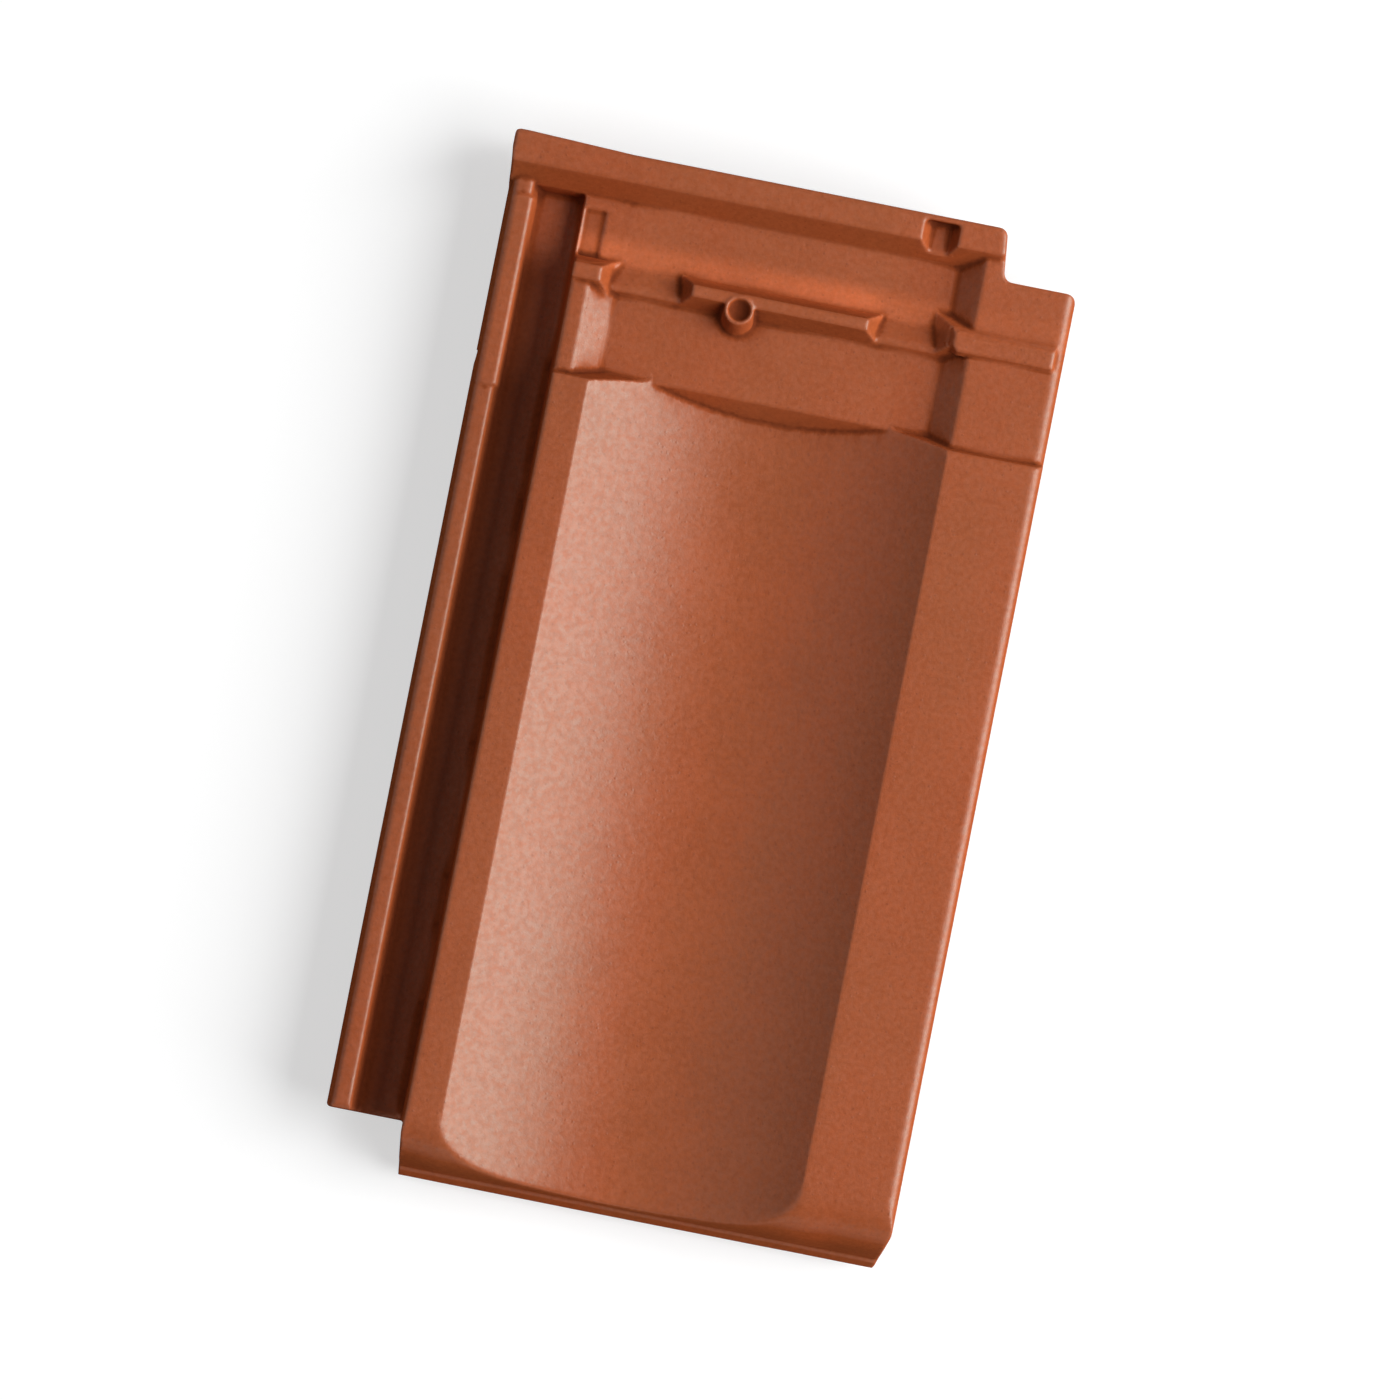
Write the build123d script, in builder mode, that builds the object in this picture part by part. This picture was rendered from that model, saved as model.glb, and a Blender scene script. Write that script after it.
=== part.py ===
"""Interlocking clay roof tile with a shallow round trough, pressed and fired as one piece.

X runs across the tile, +Y to the head and +Z to the weather side. The tile lies on its
hanging lugs and its nose, so Z = 0 is the floor under it.
"""

import os
from collections.abc import Iterable
from dataclasses import dataclass
from math import sqrt

from build123d import *

os.makedirs("parts", exist_ok=True)

# Overall plan, in millimetres
tile_length = 450.0
tile_width = 250.0
flare_out = 1.0
flare_rise = 1.7
flare_run_x = 52.0
flare_flat = 6.0
flare_run_y = 20.0
lock_setback = 22.8
corner_width = 34.4
corner_depth = 22.3
corner_lean = 2.5
corner_radius = 4.0
nose_taper_right = 4.6
nose_taper_right_run = 14.5
nose_taper_left = 1.9
nose_taper_left_run = 18.0

# Visible field: two flat bands with a round trough between them
left_band = 16.0
right_band = 41.4
trough_depth = 23.0
wall = 12.0
side_wall = 10.0
foot_drop = 13.5
crease_radius = 4.0
edge_radius = 4.5

# Side lock on the left: water channel and standing rib
lock_width = 34.3
lock_wall = 9.5
channel_drop = 24.5
channel_wall_run = 1.2
rib_drop = 9.5
rib_top_width = 9.8
rib_outer_run = 2.2
rib_inner_run = 1.8
rib_step = 1.2
rib_step_from_head = 108.3
rib_start_from_head = 25.7
rib_radius = 3.5
lock_radius = 2.0
lock_chamfer = 1.6
lock_chamfer_run = 2.4

# Cover lock under the right band, which drops over the next tile's side lock
cover_gap = 2.2
lock_clearance = 1.5
lock_headroom = 1.3
inner_rib_width = 8.0
inner_rib_lift = 1.5

# Head lap that the tile above covers
lap_length = 93.7
lap_floor_drop = 13.4
lap_wall = 12.0
ledge_width = 7.8
ledge_drop = 4.4
ledge_slope_run = 12.5
platform_width = 40.5
platform_drop = 4.6
platform_slope_run = 10.8
lap_radius = 2.5
step_run = 5.0
step_radius = 2.0
ramp_run = 7.0

# Rim along the head, with a drain notch
rim_width = 11.5
rim_height = 12.0
rim_slope_run = 8.2
rim_radius = 2.0
rim_back_radius = 1.5
stop_run = 1.5
notch_from_corner = 27.8
notch_mouth = 16.0
notch_floor = 8.0
notch_depth = 7.0
notch_back_wall = 2.6

# Shallow pad where the head channel runs out to the side channel
pad_width = 9.9
pad_length = 20.5
pad_depth = 1.2

# Head lock: a low lip with three raised blocks
head_lock_from_head = 52.2
block_height = 11.2
block_crest = 4.7
block_head_run = 3.9
block_foot_run = 5.2
block_radius = 1.2
left_block_length = 12.5
left_block_run = 6.0
left_block_crest = 6.0
left_block_foot_run = 6.5
middle_block_length = 76.5
middle_block_offset = -3.9
middle_block_run = 6.0
right_block_length = 47.8
right_block_run = 9.9
right_block_crest = 6.0
right_block_side_run = 6.5
right_block_shift = 2.2
lip_height = 2.6
lip_crest = 2.2
lip_head_run = 8.4
lip_foot_run = 1.8

# Nail boss on the head lock
boss_offset = -21.0
boss_shift = 4.6
boss_radius = 6.4
boss_draft = 1.0
boss_lean = 3.0
boss_rise = 0.8
boss_round = 0.6
cup_radius = 5.2
cup_depth = 4.2

# Nose at the foot
nose_thickness = 14.0
nose_front_lean = 10.0
nose_roll_radius = 22.0
nose_clearance = 0.8
drip_height = 15.0
drip_ledge = 1.3
drip_lean = 2.6
drip_radius = 0.6
drip_land = 1.0

# Foot rib behind the nose
foot_rib_from_foot = 60.0
foot_rib_width = 10.0
foot_rib_lift = 2.0
foot_rib_inset = 6.0

# Hanging lugs under the head
lug_from_head = 44.0
lug_spacing = 92.0
lug_width = 28.0
lug_root = 19.0
lug_tip = 11.0
lug_radius = 2.0

# Plan stations
left_x = -tile_width / 2 + flare_out
right_x = tile_width / 2
body_x = left_x + lock_width
crease_left_x = body_x + left_band
crease_right_x = right_x - right_band
trough_x = (crease_left_x + crease_right_x) / 2
head_y = tile_length / 2 - flare_rise
foot_y = -tile_length / 2
step_y = head_y - lap_length
nose_back_y = foot_y + nose_thickness
lock_foot_y = foot_y + lock_setback

# Levels
under_z = foot_drop
trough_z = under_z + wall
band_z = trough_z + trough_depth
rib_z = band_z - rib_drop
low_rib_z = rib_z - rib_step
channel_z = band_z - channel_drop
lock_under_z = channel_z - lock_wall
floor_z = band_z - lap_floor_drop
lap_under_z = floor_z - lap_wall
ledge_z = band_z - ledge_drop
platform_z = band_z - platform_drop
rim_z = floor_z + rim_height
block_z = floor_z + block_height
boss_z = block_z + boss_rise

# The trough is one arc over its width, and the underside is concentric with it
half_chord = (crease_right_x - crease_left_x) / 2
trough_radius = (half_chord**2 + trough_depth**2) / (2 * trough_depth)
trough_axis_z = trough_z + trough_radius


def underside(x: float) -> float:
    """Height of the trough's underside at x."""
    return trough_axis_z - sqrt((trough_radius + wall) ** 2 - (x - trough_x) ** 2)


# Corners of the side lock
rib_foot_outer = (left_x, lock_under_z)
rib_top_outer = (left_x + rib_outer_run, low_rib_z)
rib_top_inner = (rib_top_outer[0] + rib_top_width - rib_step, low_rib_z)
channel_left = (left_x + rib_outer_run + rib_top_width + rib_inner_run, channel_z)
channel_right = (body_x - channel_wall_run, channel_z)
lock_under_right = (body_x + side_wall - channel_wall_run, lock_under_z)

side_lock = [
    lock_under_right,
    rib_foot_outer,
    rib_top_outer,
    rib_top_inner,
    channel_left,
    channel_right,
]

# Corners of the cover lock, set by the next tile's side lock
cover_width = right_x - body_x + cover_gap
tongue_z = channel_z + lock_headroom
groove_z = rib_z + lock_headroom
tongue_outer = (right_x, tongue_z)
tongue_inner = (channel_left[0] + cover_width + lock_clearance, tongue_z)
groove_right = (left_x + rib_outer_run + rib_top_width + cover_width + lock_clearance, groove_z)
groove_left = (left_x + rib_outer_run + cover_width - lock_clearance, groove_z)
inner_rib_right = (groove_left[0] - channel_wall_run, tongue_z + inner_rib_lift)
inner_rib_left = (inner_rib_right[0] - inner_rib_width, tongue_z + inner_rib_lift)
tongue_middle_x = (tongue_outer[0] + tongue_inner[0]) / 2
inner_rib_middle_x = (inner_rib_left[0] + inner_rib_right[0]) / 2
cover_lock = [tongue_outer, tongue_inner, groove_right, groove_left, inner_rib_right, inner_rib_left]

# Corners of the head lap's floor
floor_left_x = body_x + ledge_width + ledge_slope_run
floor_right_x = right_x - platform_width - platform_slope_run

# Corners of the field's trough
crease_left = (crease_left_x, band_z)
crease_right = (crease_right_x, band_z)
under_right_x = inner_rib_left[0] - channel_wall_run
under_right = (under_right_x, underside(under_right_x))
under_left = (body_x + side_wall, underside(body_x + side_wall))
trough_rise = trough_depth - lap_floor_drop
ramp_half_width = sqrt(trough_radius**2 - (trough_radius - trough_rise) ** 2)

# Stations of the head
flare_tip = (-tile_width / 2, tile_length / 2)
rim_foot_y = head_y - rim_width - rim_slope_run
block_y = head_y - head_lock_from_head
channel_foot_y = block_y + block_crest / 2 + block_head_run
lip_y = block_y - block_crest / 2 - block_foot_run
lug_y = head_y - lug_from_head
notch_x = right_x - corner_width - notch_from_corner
boss_x = trough_x + boss_offset
boss_y = block_y - boss_shift
lock_share = (channel_z - lock_under_z) / (rib_z - lock_under_z)
nose_side_z = platform_z - floor_z + nose_clearance


@dataclass(frozen=True)
class Block:
    """One raised block of the head lock, from its crest and the runs of its slopes."""

    left: float
    right: float
    left_run: float
    right_run: float
    centre_y: float
    crest: float
    head_run: float
    foot_run: float

    @property
    def top_centre(self) -> tuple[float, float]:
        """Middle of the crest."""
        return ((self.left + self.right) / 2, self.centre_y)

    @property
    def top_size(self) -> tuple[float, float]:
        """Length and width of the crest."""
        return (self.right - self.left, self.crest)

    @property
    def foot_centre(self) -> tuple[float, float]:
        """Middle of the foot print on the lap's floor."""
        return (
            (self.left - self.left_run + self.right + self.right_run) / 2,
            self.centre_y + (self.head_run - self.foot_run) / 2,
        )

    @property
    def foot_size(self) -> tuple[float, float]:
        """Length and width of the foot print."""
        return (
            self.right + self.right_run - self.left + self.left_run,
            self.crest + self.head_run + self.foot_run,
        )


middle_block_x = trough_x + middle_block_offset
left_block_y = channel_foot_y - block_head_run - left_block_crest / 2
blocks = [
    Block(
        body_x, body_x + left_block_length, 0, left_block_run,
        left_block_y, left_block_crest, block_head_run, left_block_foot_run,
    ),
    Block(
        middle_block_x - middle_block_length / 2, middle_block_x + middle_block_length / 2,
        middle_block_run, middle_block_run,
        block_y, block_crest, block_head_run, block_foot_run,
    ),
    Block(
        right_x - right_block_length, right_x - edge_radius, right_block_run, edge_radius,
        block_y + right_block_shift, right_block_crest, right_block_side_run, right_block_side_run,
    ),
]


def round_corners(section: BuildSketch, corners: Iterable[tuple], radius: float) -> None:
    """Round the corners of a section that lie nearest to the given points."""
    for corner in corners:
        fillet(section.vertices().sort_by_distance(corner)[0], radius)


def round_locks(section: BuildSketch) -> None:
    """Round the corners of a section's two side locks."""
    round_corners(section, (rib_top_outer,), rib_radius)
    lesser = [corner for corner in side_lock if corner != rib_top_outer]
    round_corners(section, (*cover_lock, *lesser), lock_radius)


with BuildPart() as roof_tile:
    # Visible field with both side locks
    with BuildSketch(Plane.XZ.offset(-step_y)) as field_section:
        with BuildLine():
            ThreePointArc(crease_left, (trough_x, trough_z), crease_right)
            Polyline(crease_right, (right_x, band_z), *cover_lock, under_right)
            ThreePointArc(under_right, (trough_x, under_z), under_left)
            Polyline(under_left, *side_lock, (body_x, band_z), crease_left)
        make_face()
        round_corners(field_section, (crease_left, crease_right), crease_radius)
        round_corners(field_section, ((right_x, band_z),), edge_radius)
        round_corners(field_section, ((body_x, band_z),), lock_radius)
        round_locks(field_section)
    extrude(amount=step_y - nose_back_y)

    # Nose over the full thickness, cut under to sit on the lap of the tile below
    with BuildSketch(Plane.XZ.offset(-nose_back_y)) as nose_section:
        with BuildLine():
            ThreePointArc(crease_left, (trough_x, trough_z), crease_right)
            Polyline(
                crease_right,
                (right_x, band_z),
                (right_x, nose_side_z),
                (right_x - platform_width, nose_side_z),
                (floor_right_x, 0),
                (floor_left_x, 0),
                (floor_left_x - ledge_slope_run, nose_side_z),
                (body_x, nose_side_z),
                (body_x, band_z),
                crease_left,
            )
        make_face()
        round_corners(nose_section, (crease_left, crease_right), crease_radius)
        round_corners(nose_section, ((right_x, band_z),), edge_radius)
    extrude(amount=nose_thickness)

    # Rolled front of the nose, above a drip lip
    roll_back_y = foot_y + nose_front_lean + 2 * nose_roll_radius
    with BuildSketch(Plane.YZ) as nose_front:
        with BuildLine():
            Polyline(
                (foot_y, nose_side_z + drip_land),
                (foot_y + drip_lean, drip_height),
                (foot_y + drip_lean + drip_ledge, drip_height),
                (foot_y + nose_front_lean, band_z),
                (roll_back_y, band_z),
                (roll_back_y, band_z + nose_roll_radius),
                (foot_y - nose_roll_radius, band_z + nose_roll_radius),
                (foot_y - nose_roll_radius, nose_side_z + drip_land),
                close=True,
            )
        make_face()
        round_corners(nose_front, ((foot_y + nose_front_lean, band_z),), nose_roll_radius)
        round_corners(nose_front, ((foot_y + drip_lean, drip_height),), drip_radius)
    extrude(amount=tile_width, both=True, mode=Mode.SUBTRACT)

    # Sloped head end of the bands, cut no deeper than the cover groove's roof over it
    band_end_y = step_y - step_run
    for end_z, from_x, to_x in (
        (floor_z, channel_right[0], inner_rib_middle_x),
        (groove_z, inner_rib_middle_x, right_x),
    ):
        end_y = step_y - step_run * (end_z - floor_z) / lap_floor_drop
        with BuildSketch(Plane.YZ.offset(from_x)) as field_end:
            with BuildLine():
                Polyline(
                    (end_y, end_z),
                    (band_end_y, band_z),
                    (band_end_y - 2 * step_radius, band_z),
                    (band_end_y - 2 * step_radius, band_z + step_radius),
                    (step_y + step_run, band_z + step_radius),
                    (step_y + step_run, end_z),
                    close=True,
                )
            make_face()
            round_corners(field_end, ((band_end_y, band_z),), step_radius)
        extrude(amount=to_x - from_x, mode=Mode.SUBTRACT)

    # Underside of the field rises to the lap
    with BuildSketch(Plane.YZ):
        with BuildLine():
            Polyline((step_y, lap_under_z), (step_y, under_z), (step_y - ramp_run, under_z), close=True)
        make_face()
    extrude(amount=tile_width, both=True, mode=Mode.SUBTRACT)

    # Ramp from the lap's floor down into the trough
    with BuildSketch(Plane.YZ.offset(trough_x)):
        with BuildLine():
            Polyline(
                (step_y, floor_z), (step_y - ramp_run, trough_z), (step_y, trough_z), close=True
            )
        make_face()
    extrude(amount=ramp_half_width, both=True)

    # Head lap: ledge, floor and platform
    lap_top = [
        (body_x, ledge_z),
        (body_x + ledge_width, ledge_z),
        (floor_left_x, floor_z),
        (floor_right_x, floor_z),
        (right_x - platform_width, platform_z),
    ]
    with BuildSketch(Plane.XZ.offset(-tile_length / 2)) as lap_section:
        with BuildLine():
            Polyline(
                *lap_top,
                (right_x, platform_z),
                *cover_lock,
                (floor_right_x, lap_under_z),
                (floor_left_x, lap_under_z),
                *side_lock,
                close=True,
            )
        make_face()
        round_corners(lap_section, lap_top, lap_radius)
        round_corners(lap_section, ((right_x, platform_z),), edge_radius)
        round_locks(lap_section)
    extrude(amount=tile_length / 2 - step_y)

    # Ledge and platform run on under the sloped ends of the bands
    with BuildSketch(Plane.XZ.offset(-step_y)) as toe_section:
        with BuildLine():
            Polyline(*lap_top[:3], (body_x, floor_z), close=True)
        make_face()
        with BuildLine():
            Polyline(
                *lap_top[3:],
                (right_x, platform_z),
                (right_x, floor_z),
                (tongue_middle_x, floor_z),
                (tongue_middle_x, groove_z),
                (inner_rib_middle_x, groove_z),
                (inner_rib_middle_x, floor_z),
                close=True,
            )
        make_face()
        round_corners(toe_section, (lap_top[0], lap_top[1], lap_top[4]), lap_radius)
        round_corners(toe_section, ((right_x, platform_z),), edge_radius)
    extrude(amount=step_run)

    # Head channel: its floor runs out to the side channel
    with BuildSketch(Plane.YZ.offset(body_x - channel_wall_run)):
        with BuildLine():
            Polyline(
                (channel_foot_y, floor_z),
                (channel_foot_y - block_head_run, band_z),
                (tile_length / 2, band_z),
                (tile_length / 2, floor_z),
                close=True,
            )
        make_face()
    extrude(amount=floor_left_x - body_x + channel_wall_run, mode=Mode.SUBTRACT)

    # Shallow pad at the outer end of the head channel
    with BuildSketch(Plane.XY.offset(floor_z)):
        with Locations((body_x, channel_foot_y)):
            Rectangle(pad_width, pad_length, align=(Align.MIN, Align.MIN))
    extrude(amount=-pad_depth, mode=Mode.SUBTRACT)

    # Upper stage of the side lock's rib
    with BuildSketch(Plane.XZ.offset(rib_start_from_head - head_y)) as high_rib_section:
        with BuildLine():
            Polyline(
                (left_x + rib_outer_run * lock_share, channel_z),
                (left_x + rib_outer_run, rib_z),
                (left_x + rib_outer_run + rib_top_width, rib_z),
                channel_left,
                close=True,
            )
        make_face()
        round_corners(high_rib_section, ((left_x + rib_outer_run, rib_z),), rib_radius)
        round_corners(
            high_rib_section, ((left_x + rib_outer_run + rib_top_width, rib_z),), lock_radius
        )
    extrude(amount=rib_step_from_head - rib_start_from_head)

    # Rim along the head, and the stop that closes the side channel under it
    with BuildSketch(Plane.YZ.offset(-tile_width / 2)) as rim_section:
        with BuildLine():
            Polyline(
                (tile_length / 2, floor_z),
                (tile_length / 2, rim_z),
                (head_y - rim_width, rim_z),
                (rim_foot_y, floor_z),
                close=True,
            )
        make_face()
        round_corners(rim_section, ((head_y - rim_width, rim_z),), rim_radius)
    extrude(amount=tile_width)
    with BuildSketch(Plane.YZ.offset(-tile_width / 2)):
        with BuildLine():
            Polyline(
                (tile_length / 2, lock_under_z),
                (tile_length / 2, floor_z),
                (rim_foot_y, floor_z),
                (rim_foot_y - stop_run, channel_z),
                (rim_foot_y - stop_run, lock_under_z),
                close=True,
            )
        make_face()
    extrude(amount=body_x + tile_width / 2)

    # Low lip of the head lock
    with BuildSketch(Plane.YZ.offset(body_x)):
        with BuildLine():
            Polyline(
                (lip_y, floor_z),
                (lip_y + lip_foot_run, floor_z + lip_height),
                (lip_y + lip_foot_run + lip_crest, floor_z + lip_height),
                (lip_y + lip_foot_run + lip_crest + lip_head_run, floor_z),
                close=True,
            )
        make_face()
    extrude(amount=right_x - platform_width - body_x)

    # Raised blocks of the head lock
    for block in blocks:
        with BuildSketch(Plane.XY.offset(floor_z)):
            with Locations(block.foot_centre):
                Rectangle(*block.foot_size)
        with BuildSketch(Plane.XY.offset(block_z)):
            with Locations(block.top_centre):
                Rectangle(*block.top_size)
        loft()
        fillet(edges(Select.LAST).group_by(Axis.Z)[-1], block_radius)

    # Cover groove kept open under the right block
    right_block = blocks[-1]
    right_block_head_y = right_block.foot_centre[1] + right_block.foot_size[1] / 2
    with BuildSketch(Plane.XZ.offset(-right_block_head_y)) as groove_section:
        with BuildLine():
            Polyline(inner_rib_right, groove_left, groove_right, tongue_inner, close=True)
        make_face()
        round_corners(groove_section, (groove_left, groove_right), lock_radius)
    extrude(amount=right_block.foot_size[1], mode=Mode.SUBTRACT)

    # Foot rib behind the nose
    with BuildSketch(Plane.XZ.offset(-foot_y - foot_rib_from_foot)):
        with BuildLine():
            Polyline(
                (floor_left_x + foot_rib_inset, foot_rib_lift),
                (floor_right_x - foot_rib_inset, foot_rib_lift),
                (floor_right_x - foot_rib_inset, trough_z),
                (floor_left_x + foot_rib_inset, trough_z),
                close=True,
            )
        make_face()
    extrude(amount=foot_rib_width)

    # Hanging lugs with an upright face towards the foot
    for lug_x in (trough_x - lug_spacing / 2, trough_x + lug_spacing / 2):
        with BuildSketch(Plane.YZ.offset(lug_x)):
            with BuildLine():
                Polyline(
                    (lug_y, 0),
                    (lug_y, lap_under_z),
                    (lug_y + lug_root, lap_under_z),
                    (lug_y + lug_tip, 0),
                    close=True,
                )
            make_face()
        extrude(amount=lug_width / 2, both=True)
        free_edges = edges(Select.LAST).filter_by(lambda edge: edge.center().Z < lap_under_z - lug_radius)
        fillet(free_edges, lug_radius)

    # Plan view: flared head corner, cut-back right corner, short lock and tapered nose
    with BuildSketch() as plan_view:
        with BuildLine():
            flare = TangentArc(
                (left_x, head_y - flare_run_y), (-tile_width / 2, head_y - flare_flat), tangent=(0, 1)
            )
            Polyline(
                flare @ 1,
                flare_tip,
                (-tile_width / 2 + flare_flat, tile_length / 2),
                (-tile_width / 2 + flare_run_x, head_y),
                (right_x - corner_width, head_y),
                (right_x - corner_width + corner_lean, head_y - corner_depth),
                (right_x, head_y - corner_depth),
                (right_x, foot_y + nose_taper_right_run),
                (right_x - nose_taper_right, foot_y),
                (body_x + nose_taper_left, foot_y),
                (body_x, foot_y + nose_taper_left_run),
                (body_x, lock_foot_y),
                (left_x, lock_foot_y),
                flare @ 0,
            )
        make_face()
        round_corners(
            plan_view,
            (
                (right_x - corner_width, head_y),
                (right_x - corner_width + corner_lean, head_y - corner_depth),
                (right_x, head_y - corner_depth),
            ),
            corner_radius,
        )
        round_corners(plan_view, (flare_tip, (left_x, lock_foot_y)), lock_radius)
    extrude(amount=band_z, mode=Mode.INTERSECT)

    # Chamfered foot of the side lock's rib and channel
    for crest_z, from_x, to_x in (
        (low_rib_z, left_x, rib_top_inner[0] + lock_radius),
        (channel_z, channel_left[0], body_x),
    ):
        with BuildSketch(Plane.YZ.offset(from_x)):
            with BuildLine():
                Polyline(
                    (lock_foot_y, crest_z - lock_chamfer),
                    (lock_foot_y + lock_chamfer_run, crest_z),
                    (lock_foot_y, crest_z),
                    close=True,
                )
            make_face()
        extrude(amount=to_x - from_x, mode=Mode.SUBTRACT)

    # Rounded back edge of the rim
    rim_top = faces().filter_by(Axis.Z).sort_by_distance((0, head_y, rim_z))[0]
    fillet(rim_top.edges().filter_by(lambda edge: edge.center().Y > head_y - rim_radius), rim_back_radius)

    # Drain notch in the rim, open to the head channel
    with BuildSketch(Plane.XZ.offset(notch_back_wall - head_y)):
        with BuildLine():
            Polyline(
                (notch_x - notch_mouth / 2, rim_z),
                (notch_x - notch_floor / 2, rim_z - notch_depth),
                (notch_x + notch_floor / 2, rim_z - notch_depth),
                (notch_x + notch_mouth / 2, rim_z),
                close=True,
            )
        make_face()
    extrude(amount=head_y - notch_back_wall - rim_foot_y, mode=Mode.SUBTRACT)

    # Nail boss, which leans towards the head, with a bowl for the nail's head
    boss_rings = (
        (floor_z, boss_lean, boss_radius + boss_draft),
        (boss_z - boss_round, 0, boss_radius),
        (boss_z, 0, boss_radius - boss_round),
    )
    for ring_z, ring_shift, ring_radius in boss_rings:
        with BuildSketch(Plane.XY.offset(ring_z)):
            with Locations((boss_x, boss_y - ring_shift)):
                Circle(ring_radius)
    loft(ruled=True)
    with BuildSketch(Plane.XZ.offset(-boss_y)):
        with BuildLine():
            bowl = TangentArc(
                (boss_x, boss_z - cup_depth), (boss_x + cup_radius, boss_z), tangent=(1, 0)
            )
            Polyline(bowl @ 1, (boss_x, boss_z), bowl @ 0)
        make_face()
    revolve(axis=Axis((boss_x, boss_y, 0), (0, 0, 1)), mode=Mode.SUBTRACT)

roof_tile.part.label = "roof_tile"
export_step(roof_tile.part, "parts/roof_tile.step")
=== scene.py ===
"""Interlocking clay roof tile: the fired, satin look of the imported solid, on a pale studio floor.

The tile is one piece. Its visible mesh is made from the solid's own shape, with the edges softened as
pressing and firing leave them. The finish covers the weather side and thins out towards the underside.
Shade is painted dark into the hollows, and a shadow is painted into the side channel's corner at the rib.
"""

import logging
import math
from dataclasses import dataclass, field
from enum import Enum

import bpy
import numpy as np
from mathutils import Matrix, Vector


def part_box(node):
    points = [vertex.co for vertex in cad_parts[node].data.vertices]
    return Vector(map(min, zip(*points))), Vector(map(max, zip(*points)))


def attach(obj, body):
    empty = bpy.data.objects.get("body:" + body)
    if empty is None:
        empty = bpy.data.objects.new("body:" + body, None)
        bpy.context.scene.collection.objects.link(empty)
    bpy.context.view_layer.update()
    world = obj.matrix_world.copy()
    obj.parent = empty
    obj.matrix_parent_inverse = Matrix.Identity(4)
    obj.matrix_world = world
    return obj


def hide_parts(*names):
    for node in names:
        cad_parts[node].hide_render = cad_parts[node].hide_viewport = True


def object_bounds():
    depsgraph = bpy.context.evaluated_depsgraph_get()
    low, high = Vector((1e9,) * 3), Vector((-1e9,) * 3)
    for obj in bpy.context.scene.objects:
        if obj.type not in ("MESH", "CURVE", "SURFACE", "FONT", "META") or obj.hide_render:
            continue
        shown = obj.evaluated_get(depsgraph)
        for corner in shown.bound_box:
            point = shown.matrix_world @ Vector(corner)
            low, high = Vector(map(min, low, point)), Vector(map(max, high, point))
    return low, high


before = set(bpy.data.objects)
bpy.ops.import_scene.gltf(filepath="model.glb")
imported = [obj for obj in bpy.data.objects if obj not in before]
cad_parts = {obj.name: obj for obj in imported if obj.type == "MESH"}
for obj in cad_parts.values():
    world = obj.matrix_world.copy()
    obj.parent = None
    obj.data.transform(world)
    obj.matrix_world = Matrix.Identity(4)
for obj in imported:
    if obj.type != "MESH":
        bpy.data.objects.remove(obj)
solid_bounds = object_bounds()

log = logging.getLogger("roof_tile")

MM = 0.001
Colour = tuple[float, float, float, float]

# An edge is taken to be at least this long, in metres, so that no bend is divided by nothing.
SHORTEST = 1e-6

# Most values of a noise texture lie between these two.
NOISE_LOW = 0.3
NOISE_HIGH = 0.7

# Sockets of a Mix node that mixes colours.
MIX_SHARE, MIX_FIRST, MIX_SECOND = 0, 6, 7
MIX_RESULT = 2


class Socket(str, Enum):
    """Kinds of socket that the finish's node groups have."""

    VALUE = "NodeSocketFloat"
    VECTOR = "NodeSocketVector"


class Surface(str, Enum):
    """Names of the tile's surface attributes that the finish reads."""

    COVER = "finish_cover"
    SHEEN = "finish_sheen"
    # Painted shade: dark colour in concave creases, and the shadow painted into the side channel's corner.
    PAINTED_SHADE = "hollow"
    # Convex edges, painted pale: partly rubbed wear, partly a painted highlight.
    CREST = "crest"


def select_only(target: bpy.types.Object) -> None:
    """Make one object the only selected and active one.

    Args:
        target: The object to select.
    """
    bpy.ops.object.select_all(action="DESELECT")
    target.select_set(True)
    bpy.context.view_layer.objects.active = target


def apply_modifier(target: bpy.types.Object, name: str, kind: str, **settings: float | str | bool) -> None:
    """Add a modifier with the given settings and apply it.

    Args:
        target: The object to change.
        name: The modifier's name.
        kind: The modifier's type.
        settings: Values of the modifier's own properties.
    """
    modifier = target.modifiers.new(name, kind)
    for key, value in settings.items():
        setattr(modifier, key, value)
    select_only(target)
    bpy.ops.object.modifier_apply(modifier=name)


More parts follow.
